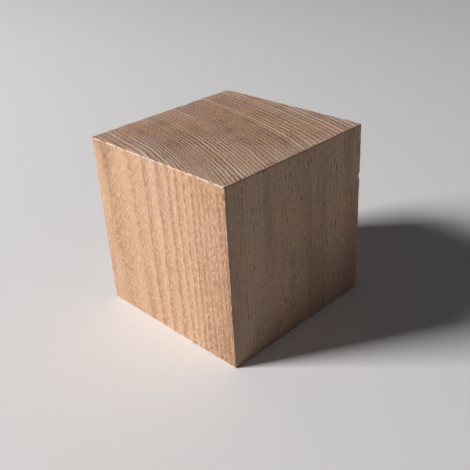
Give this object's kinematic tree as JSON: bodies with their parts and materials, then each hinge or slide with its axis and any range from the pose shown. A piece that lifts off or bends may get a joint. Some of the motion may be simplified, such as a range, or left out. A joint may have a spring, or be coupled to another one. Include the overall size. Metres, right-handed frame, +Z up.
{
  "type": "wooden cube",
  "caption": "Solid wooden cube with lightly eased edges, used on a bench or desk as a spacer, riser, stand or craft blank.",
  "frame": {"origin": "centre of the base, on the surface that the cube stands on", "axes": "+Z up along the grain, so the base and the top are end grain; -Y is the front face with broad growth-ring stripes; +X is the right face with short dark flecks"},
  "size_m": [0.06, 0.06, 0.06],
  "materials": {
    "beech": "sanded bare hardwood, matt, with growth rings and fine flecks"
  },
  "bodies": {
    "root": {"wooden_cube": "beech"}
  },
  "joints": []
}
